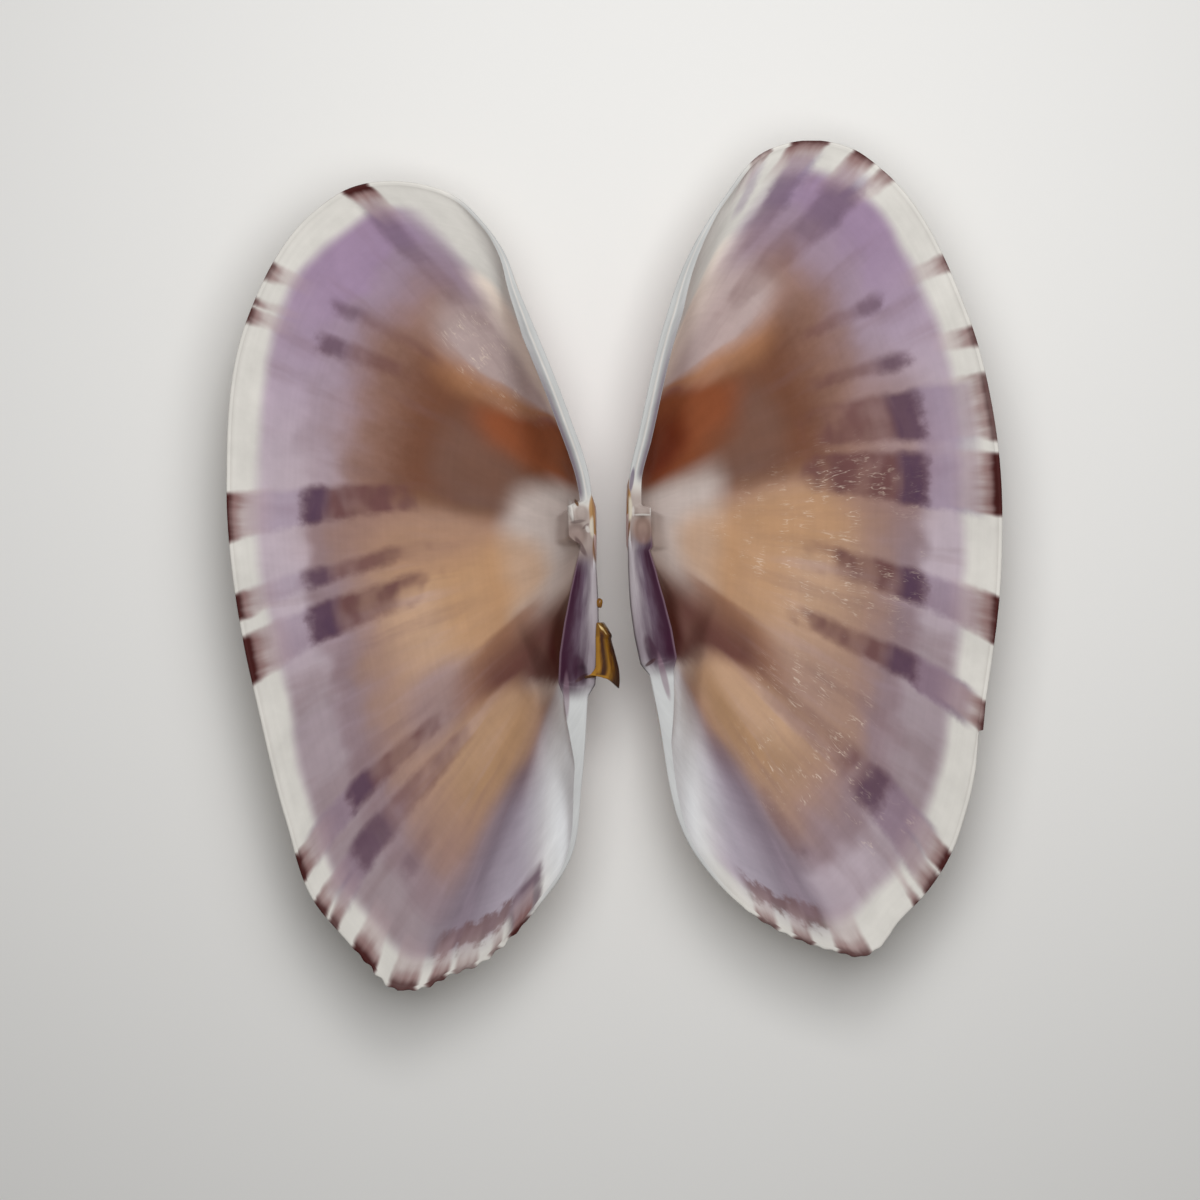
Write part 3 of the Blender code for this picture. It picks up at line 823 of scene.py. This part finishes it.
def hingePatch(x, y, middle, half, lean):
    c = math.cos(math.radians(lean))
    s = math.sin(math.radians(lean))
    fromX = calc("SUBTRACT", x, middle[0])
    fromY = calc("SUBTRACT", y, middle[1])
    a = calc("MULTIPLY_ADD", fromY, -s / half[0], times(fromX, c / half[0]))
    b = calc("MULTIPLY_ADD", fromY, c / half[1], times(fromX, s / half[1]))
    far = calc("SQRT", calc("ADD", times(a, a), times(b, b)))
    return fade(far, 1.25, 0.70)


def insideFinish(valve):
    material, shader = newFinish(valve["node"] + "_inside")
    ray, growth, streak, rings, mottle, flat = shellPlaces(3.0 if valve["side"] > 0 else 11.0)
    column, across = mapPlace("rim")
    grainy = sway(growth, mottle, 0.04)
    cloud = noise(flat, 0.22, 2.0, 0.55)
    cloudy = sway(growth, cloud, 0.14)
    grid = combine(times(ray, 46.0), times(growth, 19.0), 4.0)
    blocks = noise(grid, 1.0, 1.0, 0.4)
    fan = noise(combine(times(ray, 44.0), times(growth, 1.6), 6.0), 1.0, 3.0, 0.6)
    lay, painted = startPaint("marginWhite")

    def patch(middle, reach, soft=1.0):
        # a soft round patch
        return spot(ray, growth, middle, reach, soft)

    # broad growth zones, from the margin inwards
    frontLine = leaning(ray, growth, 0.9, 0.075)
    stained = times(fade(frontLine, 0.214, 0.246), fade(ray, 0.815, 0.775))
    outerEdge = fade(growth, *valve["outerEdge"])
    lay("lavender", 1.0, stained, outerEdge)
    lay("violet", 0.92, stained, fade(ray, 0.43, 0.28), outerEdge)
    lay("mauveGrey", 0.8, band(ray, 0.53, 0.665, 0.06), outerEdge)
    lay("mauveDusk", valve["dusk"], band(ray, 0.655, 0.735, 0.05), outerEdge)
    step = fade(cloudy, 0.83, 0.765)
    lay("mauve", 0.55, stained, step)
    lay("mauveShade", 0.9, stained, step, fade(ray, 0.42, 0.45))
    lay("mauveShade", 0.4, band(ray, 0.225, 0.345, 0.04), fade(growth, 0.78, 0.70))
    brownEdge = fade(cloudy, 0.765, 0.615)
    lay("tan", 0.95, band(ray, 0.242, 0.722, 0.04), brownEdge)
    lay("sand", 0.85, band(ray, 0.445, 0.722, 0.05), brownEdge)
    lay("brown", 1.0, band(ray, 0.285, 0.432, 0.03), fade(grainy, 0.76, 0.50))
    lay("darkBrown", 0.3, band(ray, 0.300, 0.432, 0.03), band(grainy, 0.38, 0.56, 0.12))
    lay("greyBrown", 0.85, patch((0.370, 0.36), (0.055, 0.11)))
    lay("peach", valve["peachDepth"], patch((0.515, 0.49), (0.080, 0.13), 0.9))
    lay("orange", valve["peachDepth"] - 0.15, patch((0.520, 0.37), (0.080, 0.11), 0.9))
    lay("orange", 0.75, patch((0.466, 0.50), (0.030, 0.13)))
    lay("mauveShade", valve["dusk"], patch((0.605, 0.53), (0.032, 0.11)))
    lay("tan", valve["dusk"], patch((0.705, 0.62), (0.045, 0.12)))
    lay("tan", valve["dusk"] - 0.1, patch((0.455, 0.55), (0.030, 0.22)))
    lay("gold", 1.0, patch((0.682, 0.46), (0.044, 0.15), 1.3))
    lay("peach", 1 - valve["dusk"], patch((0.662, 0.45), (0.022, 0.12)))

    # under the beak: rust in front, pinkish white below it
    rustTop = drawnLine(ray, [(0.0, 0.27), (0.245, 0.275), (0.280, 0.33), (0.310, 0.39),
                              (0.35, 0.36), (0.39, 0.28), (1.0, 0.2)])
    inRust = calc("SUBTRACT", rustTop, growth)
    lay("rust", 1.0, band(ray, 0.20, valve["rustEnd"], 0.055), fade(inRust, -0.07, 0.04),
        shade=valve["rustTone"])
    lay("deepRust", valve["rustDepth"], patch((0.300, 0.15), (0.065, 0.09)))
    lay("brown", 0.3, patch((0.245, 0.16), (0.045, 0.10)), streak)
    lay("brown", 0.5, band(ray, 0.34, 0.405, 0.05), band(growth, 0.28, 0.45, 0.1))
    paleLine = leaning(ray, growth, 0.24, valve["paleSlant"])
    lay("pinkWhite", 1.0, fade(paleLine, *valve["paleEdge"]), fade(growth, 0.345, 0.255))
    lay("orange", 0.65, patch((0.515, 0.28), (0.06, 0.09)))

    # the front muscle's scar, with a yellowish lower rim
    scarSide = drawnLine(growth, [(0.0, 0.19), (0.255, 0.205), (0.295, 0.245), (0.40, 0.277),
                                  (0.50, 0.288), (0.60, 0.280), (0.72, 0.262), (1.0, 0.25)])
    scarPart = calc("SUBTRACT", ray, scarSide)
    scarTop = fade(growth, 0.70, 0.55)
    lay("scarRim", 0.70, fade(scarPart, 0.030, -0.004), fade(growth, 0.62, 0.46))
    lay("scarPink", 0.95, fade(scarPart, 0.004, -0.024), scarTop)
    lay("scarRim", 0.35, band(scarPart, -0.016, 0.001, 0.006), band(growth, 0.33, 0.52, 0.1))
    # painted light: the steep front bank beside the scar lies in shade, so its beige white is laid
    # lighter there
    lay("scarLight", 0.9, fade(ray, *valve["bankPaintedLightRays"]), band(growth, 0.265, 0.72, 0.07))

    # hind end: blue lilac, bluish white laid lighter as painted sheen and light on the steep hind bank,
    # then the maroon wedge below the nymph
    lay("blueLilac", 1.0, band(ray, 0.722, 0.785, 0.035), band(growth, 0.52, 0.92, 0.16))
    lay("darkLilac", 0.80, band(ray, 0.718, 0.746, 0.045), band(growth, 0.46, 0.93, 0.10))
    hindLine = leaning(ray, growth, 0.6, 0.10)
    lay("blueWhite", 1.0, fade(hindLine, 0.745, 0.792), fade(growth, 0.16, 0.24))
    x, y = hingePlaces(valve)
    ahead = fade(sway(y, mottle, 1.2), -13.3, -11.6)
    besideNymph = calc("MAXIMUM", ahead, fade(ray, 0.70, 0.66))
    wedge = drawnLine(ray, [(0.0, 0.10), (0.555, 0.16), (0.583, 0.34), (0.612, 0.425), (0.628, 0.43),
                            (0.650, 0.345), (0.70, 0.300), (0.745, 0.280), (0.80, 0.31), (1.0, 0.34)])
    inWedge = calc("SUBTRACT", wedge, growth)
    lay("sienna", 0.8, fade(inWedge, -0.13, 0.0), band(ray, 0.562, 0.645, 0.05),
        fade(growth, 0.16, 0.28))
    lay("plum", 0.95, fade(inWedge, -0.045, 0.04), fade(ray, 0.572, 0.640), besideNymph)
    deepLine = drawnLine(ray, [(0.0, 0.02), (0.60, 0.10), (0.625, 0.17), (0.66, 0.23), (0.70, 0.268),
                               (0.745, 0.27), (0.79, 0.25), (1.0, 0.20)])
    lay("maroon", 1.0, fade(calc("SUBTRACT", deepLine, growth), -0.03, 0.035), besideNymph)
    wave = sway(growth, mottle, 0.10)
    lay("plum", 0.7, band(ray, 0.722, 0.772, 0.012), band(wave, 0.868, 0.93, 0.03))
    lay("marginWhite", 1.0, fade(frontLine, 0.222, 0.204))
    lay("tan", 0.75 - valve["dusk"], patch((0.420, 0.72), (0.055, 0.13)))

    # soft rays of lilac and brown that fan out from the beak
    fanned = times(stained, outerEdge, fade(growth, 0.30, 0.55), fade(ray, 0.78, 0.72))
    lay("fanLilac", 0.20, fanned, fade(fan, 0.50, 0.72), fade(ray, 0.40, 0.50))
    lay("fanBrown", 0.26, fanned, fade(fan, 0.50, 0.30))

    # veils of thin colour over the outer band, dark rays further in
    place = rayPlace(ray, growth)
    jagged = sway(place, mottle, 0.005)
    body = calc("MULTIPLY_ADD", fade(blocks, 0.28, 0.70), 0.42, 0.58)
    head = fade(growth, 0.725, 0.765)
    full = calc("MAXIMUM", body, times(head, 0.9))
    for low, high, strength in valve["veils"]:
        mask = times(band(jagged, low, high, 0.006), band(growth, 0.80, 0.955, 0.05))
        lay("veil", strength, mask)
        lay("fanBrown", 0.55 * strength, mask, fade(ray, 0.46, 0.54))
    ragged = sway(growth, blocks, 0.16)
    for low, high, top, bottom, strength in valve["rays"]:
        edges = band(jagged, low, high, 0.0075)
        reach = times(fade(grainy, top + 0.020, top - 0.025),
                      fade(ragged, bottom - 0.05, bottom + 0.08))
        mask = times(edges, reach, full)
        lay("rayBrown", 0.92 * strength, mask)
        lay("rayPurple", 0.85 * strength, mask, head)

    # margin marks: dark at the very edge, streaky further in
    marks = marksAcross(ray, growth, valve)
    thread = sway(growth, streak, 0.018)
    lay("markVeil", 0.5, marks, fade(thread, 0.86, 0.935))
    lay("markBrown", 0.8, marks, fade(thread, 0.915, 0.985), fade(streak, 0.20, 0.75))
    lay("markBrown", 0.7, marks, fade(thread, 0.950, 0.982))
    lay("markMaroon", 0.95, marks, fade(thread, 0.976, 0.996))

    # the hinge side: dorsal rims, nymph, beak. The rim bands' grey is painted shade and reflection on
    # their steep faces, the white line along the front rim is a painted highlight on its crest, and the
    # darker lilac just inside it by the beak is painted shade
    onRim = fade(across, 1.06, 0.94)
    frontRim = times(fade(column, 0.012, 0.022), fade(column, 0.20, 0.18), onRim)
    lay("rimGrey", 1.0, frontRim)
    lay("nymphMid", 0.85, frontRim, fade(column, 0.14, 0.05), fade(across, 0.50, 0.90))
    lay("toothWhite", 0.8, frontRim, band(across, 0.38, 0.50, 0.08))
    lay("rimGrey", 0.75, fade(across, 1.15, 0.95), band(column, 0.80, 0.935, 0.03))
    nymph = times(fade(column, 0.910, 0.926), fade(column, 0.996, 0.976))
    along = noise(combine(times(column, 60.0), times(across, 7.0), 2.0), 1.0, 3.0)
    slide = sway(across, along, 0.45)
    # painted shade: the nymph's lilac is laid darker in steps down its inward slope
    lay("nymphLight", 1.0, nymph, onRim)
    lay("nymphMid", 1.0, nymph, onRim, fade(slide, 0.08, 0.62))
    lay("nymphMid", 0.5, nymph, onRim, fade(column, 0.965, 0.925))
    lay("nymphDark", 0.55, nymph, onRim, fade(column, 0.950, 0.928), fade(slide, 0.10, 0.55))
    lay("nymphDark", 0.92, nymph, fade(slide, 0.40, 0.90), fade(across, 1.12, 1.0))
    lay("crestPink", 0.7, nymph, band(across, 0.96, 1.04, 0.06))
    turn = calc("PINGPONG", calc("ADD", column, 0.5), 0.5)
    lay("toothGrey", 0.9, fade(turn, 0.482, 0.494), fade(across, 1.30, 1.0))
    # the hinge tints, with their painted shade at steps and painted highlight on crests
    for name, middle, half, lean, strength in valve["tints"]:
        lay(name, strength, hingePatch(x, y, middle, half, lean))

    # fine worn scratches
    strokes = combine(times(ray, 290.0), times(growth, 17.0), 8.0)
    curl = noise(strokes, 1.0, 2.0)
    line = fade(calc("ABSOLUTE", calc("SUBTRACT", curl, 0.5)), 0.030, 0.002)
    cluster = fade(noise(combine(ray, growth, 9.0), 22.0, 2.0), 0.42, 0.60)
    broken = times(fade(noise(flat, 1.1, 2.0), 0.42, 0.62), cluster)
    for middle, reach, strength in valve["scratches"]:
        lay("scratchWhite", 0.50 * strength, line, broken, patch(middle, reach, 0.8))

    # thin concentric lines and a faint mottle through it all
    shade = sway(1.0, rings, 0.10)
    shade = sway(shade, cloud, 0.30)
    shade = sway(shade, mottle, 0.14)
    tree.links.new(shaded(painted(), shade), shader.inputs["Base Color"])
    glaze(shader, rings, mottle, 0.40, 0.012)
    return material


def glaze(shader, rings, mottle, roughness, lift):
    # polished shell: a little uneven in gloss, with the faintest growth lines in relief
    rough = sway(roughness, mottle, 0.14)
    tree.links.new(rough, shader.inputs["Roughness"])
    shader.inputs["Specular IOR Level"].default_value = 0.25
    shader.inputs["Coat Weight"].default_value = 0.05
    shader.inputs["Coat Roughness"].default_value = 0.22
    bump = add("Bump")
    bump.inputs["Strength"].default_value = 0.35
    bump.inputs["Distance"].default_value = lift * mm
    tree.links.new(rings, bump.inputs["Height"])
    tree.links.new(bump.outputs[0], shader.inputs["Normal"])


# Darker growth zones of the outside: from growth, to growth, strength.
outsideZones = [(0.30, 0.37, 0.8), (0.50, 0.56, 0.7), (0.68, 0.74, 0.6), (0.79, 0.82, 0.5)]


def outsideFinish(valve):
    material, shader = newFinish(valve["node"] + "_outside")
    ray, growth, streak, rings, mottle, flat = shellPlaces(5.0 if valve["side"] > 0 else 17.0)
    grainy = sway(growth, mottle, 0.05)
    lay, painted = startPaint("outsideCream")

    lay("outsideRose", 0.7, fade(grainy, 0.90, 0.45))
    for low, high, strength in outsideZones:
        lay("outsideMaroon", 0.35 * strength, band(grainy, low, high, 0.03))
    place = rayPlace(ray, growth)
    soft = calc("MULTIPLY_ADD", streak, 0.7, 0.5)
    for low, high, top, bottom, strength in valve["rays"]:
        mask = times(band(place, low, high, 0.005), fade(growth, 0.15, 0.35), soft)
        lay("outsideMaroon", 0.8 * strength, mask)
    marks = marksAcross(ray, growth, valve)
    lay("markMaroon", 0.85, marks, fade(growth, 0.90, 0.97))
    lay("skinBrown", 0.5, fade(growth, 0.955, 0.99), fade(mottle, 0.45, 0.7))
    lay("beakGold", 0.85, fade(growth, 0.16, 0.08), fade(ray, 0.30, 0.12))
    shade = sway(1.0, rings, 0.5)
    tree.links.new(shaded(painted(), shade), shader.inputs["Base Color"])
    glaze(shader, rings, mottle, 0.36, 0.05)
    return material


def hornFinish(name, folded):
    # glossy amber horn; on the torn flake the folds are lighter and darker strips, with a painted
    # highlight streak and painted shade on the side that turns down
    material, shader = newFinish(name)
    node = add("TexCoord")
    stretch = add("Mapping")
    stretch.inputs["Scale"].default_value = (2600.0, 420.0, 900.0)   # grain runs along y
    tree.links.new(node.outputs["Object"], stretch.inputs["Vector"])
    grain = noise(stretch.outputs[0], 1.0, 3.0)
    lay, painted = startPaint("hornAmber")
    lay("hornBrown", 1.0, fade(grain, 0.42, 0.68))
    if folded:
        t, fromHem = mapPlace("sheet")
        v = calc("SUBTRACT", 1.0, fromHem)
        wander = sway(t, grain, 0.12)
        lean = calc("MULTIPLY_ADD", v, -1.5, wander)
        # dark brown, deepest on the side that turns down, as painted shade
        lay("hornDark", 0.95, fade(wander, 0.66, 0.90))
        lay("hornDark", 0.80, band(wander, 0.30, 0.50, 0.12), fade(v, 0.15, 0.30))
        lay("hornGold", 0.60, band(wander, 0.02, 0.22, 0.08), fade(v, 0.25, 0.4))
        lay("hornGold", 0.45, band(wander, 0.54, 0.62, 0.08), fade(v, 0.3, 0.5))
        lay("hornOlive", 0.85, fade(v, 0.24, 0.14), fade(wander, 0.2, 0.4))
        # painted highlight along the fold
        lay("hornShine", 0.90, band(lean, 0.20, 0.29, 0.06), band(v, 0.04, 0.26, 0.06))
        lay("hornGold", 0.80, fade(v, 0.84, 0.90), fade(wander, 0.75, 0.55))
        lay("hornDark", 0.90, fade(v, 0.955, 0.99))
    tree.links.new(painted(), shader.inputs["Base Color"])
    rough = calc("MULTIPLY_ADD", grain, 0.16, 0.08)
    tree.links.new(rough, shader.inputs["Roughness"])
    shader.inputs["Coat Weight"].default_value = 0.6
    shader.inputs["Coat Roughness"].default_value = 0.06
    bump = add("Bump")
    bump.inputs["Strength"].default_value = 0.4
    bump.inputs["Distance"].default_value = 0.03 * mm
    tree.links.new(grain, bump.inputs["Height"])
    tree.links.new(bump.outputs[0], shader.inputs["Normal"])
    return material


# The torn ligament, seen from above: left edge, right edge at each place along.
ligament = {
    "sections": [
        (-4.60, -1.38, -0.95), (-5.05, -1.44, -0.62), (-5.70, -1.48, -0.25),
        (-5.95, -1.48, -0.35), (-7.00, -1.48, -0.04), (-8.20, -1.50, 0.28),
        (-8.75, -1.60, 0.44), (-9.05, -1.90, 0.46)],
    "hem": [(-2.45, -9.05), (-1.85, -8.98), (-1.20, -8.92), (-0.70, -9.10), (-0.25, -9.45),
            (0.36, -10.0)],
    "lift": 0.12,            # above the margins
    "arch": 0.40,
    "drop": 1.0,             # how far its inner edge hangs down
    "crease": 0.10,
    "wall": 0.22,
    "columns": 22,
    "rows": 34,
}


def buildLigament(finish):
    bpy.ops.object.select_all(action="DESELECT")
    bpy.ops.mesh.primitive_grid_add(x_subdivisions=ligament["columns"],
                                    y_subdivisions=ligament["rows"], size=2.0)
    piece = bpy.context.object
    piece.name = "ligament_flake"
    piece.data.uv_layers[0].name = "sheet"
    sections = np.array(ligament["sections"])
    hem = np.array(ligament["hem"])
    rim = growthHabit["depth"] - growthHabit["bellyCut"]
    for vert in piece.data.vertices:
        t = (vert.co.x + 1) / 2
        v = (1 - vert.co.y) / 2
        k = v * (len(sections) - 1)
        along, left, right = [np.interp(k, np.arange(len(sections)), sections[:, i]) for i in range(3)]
        x = left + (right - left) * t
        lower = np.interp(t * (len(hem) - 1), np.arange(len(hem)), hem[:, 0])
        lowest = np.interp(t * (len(hem) - 1), np.arange(len(hem)), hem[:, 1])
        pull = float(smoothStep(np.array(v), 0.72, 1.0))
        x += (lower - x) * pull
        y = along + (lowest - along) * pull
        z = rim + ligament["lift"] + ligament["arch"] * math.sin(math.pi * t)**0.8
        z -= ligament["drop"] * t**2
        z += ligament["crease"] * math.exp(-((t - 0.42 - 0.2 * v) / 0.07)**2)
        vert.co = (x * mm, y * mm, z * mm)
    wall = piece.modifiers.new("wall", "SOLIDIFY")
    wall.thickness = ligament["wall"] * mm
    wall.offset = 0.0
    bpy.ops.object.modifier_apply(modifier="wall")
    smooth = piece.modifiers.new("smooth", "SUBSURF")
    smooth.levels = 1
    smooth.render_levels = 1
    bpy.ops.object.modifier_apply(modifier="smooth")
    bpy.ops.object.mode_set(mode="EDIT")
    bpy.ops.mesh.select_all(action="SELECT")
    bpy.ops.mesh.normals_make_consistent(inside=False)
    bpy.ops.object.mode_set(mode="OBJECT")
    bpy.ops.object.shade_smooth()
    piece.data.materials.append(finish)
    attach(piece, "root")
    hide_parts("ligament")
    print("ligament made")


fragment = {"middle": (-1.22, -3.05, 7.46), "reach": (0.27, 0.42, 0.24)}


def buildFragment(finish):
    bpy.ops.object.select_all(action="DESELECT")
    bpy.ops.mesh.primitive_uv_sphere_add(segments=24, ring_count=16, radius=1.0)
    piece = bpy.context.object
    piece.name = "ligament_crumb"
    for vert in piece.data.vertices:
        bulge = 1 + 0.10 * math.sin(3 * vert.co.x + 2) * math.cos(4 * vert.co.y + 1)
        vert.co = [(middle + reach * value * bulge) * mm for middle, reach, value
                   in zip(fragment["middle"], fragment["reach"], vert.co)]
    bpy.ops.object.shade_smooth()
    piece.data.materials.append(finish)
    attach(piece, "root")
    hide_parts("ligament_fragment")
    print("fragment made")


# The camera looks straight down. Places and sizes in millimetres, powers in watts.
studio = {
    "pictureMiddle": (-1.17, -2.79),
    "cameraHeight": 300.0,       # above the margins
    "pictureWidth": 97.2,        # at the margins
    "sensor": 36.0,
    "floorSize": 1200.0,
    "mainPlace": (8.0, 38.0, 128.0),
    "mainSize": 130.0,
    "mainPower": 0.178,
    "shinePlace": (14.0, 115.0, 165.0),
    "shineSize": 60.0,
    "shinePower": 0.045,
    "skyStrength": 0.22,
}


def aim(item, target):
    offset = [target[k] - item.location[k] for k in range(3)]
    flat = math.hypot(offset[0], offset[1])
    item.rotation_euler = (math.atan2(flat, -offset[2]), 0.0, math.atan2(-offset[0], offset[1]))


def buildStudio():
    rim = growthHabit["depth"] - growthHabit["bellyCut"]
    data = bpy.data.cameras.new("camera")
    data.sensor_width = studio["sensor"]
    data.lens = studio["sensor"] * studio["cameraHeight"] / studio["pictureWidth"]
    data.clip_start = 0.01
    data.clip_end = 20.0
    cameraItem = bpy.data.objects.new("camera", data)
    bpy.context.scene.collection.objects.link(cameraItem)
    x, y = studio["pictureMiddle"]
    cameraItem.location = (x * mm, y * mm, (rim + studio["cameraHeight"]) * mm)
    bpy.context.scene.camera = cameraItem

    bpy.ops.object.select_all(action="DESELECT")
    bpy.ops.mesh.primitive_plane_add(size=studio["floorSize"] * mm, location=(0.0, 0.0, 0.0))
    floor = bpy.context.object
    floor.name = "floor"
    material, shader = newFinish("pale_floor")
    shader.inputs["Base Color"].default_value = (0.74, 0.735, 0.72, 1.0)
    shader.inputs["Roughness"].default_value = 0.85
    floor.data.materials.append(material)

    # the wide even light overhead leaves no reflection, the small one does
    for name in ("main", "shine"):
        lampData = bpy.data.lights.new(name + "_light", "AREA")
        lampData.shape = "SQUARE"
        lampData.size = studio[name + "Size"] * mm
        lampData.energy = studio[name + "Power"]
        lamp = bpy.data.objects.new(name + "_light", lampData)
        bpy.context.scene.collection.objects.link(lamp)
        lamp.location = [value * mm for value in studio[name + "Place"]]
        aim(lamp, (0.0, 0.01, 0.0))
        lamp.visible_glossy = name == "shine"

    world = bpy.data.worlds.new("soft_sky")
    world.use_nodes = True
    back = world.node_tree.nodes["Background"]
    back.inputs["Color"].default_value = (1.0, 0.99, 0.97, 1.0)
    back.inputs["Strength"].default_value = studio["skyStrength"]
    bpy.context.scene.world = world
    bpy.context.scene.view_settings.view_transform = "Standard"
    print("studio made")


buildStudio()
for valve in valves:
    buildValve(valve)
buildLigament(hornFinish("folded_horn", True))
buildFragment(hornFinish("amber_horn", False))
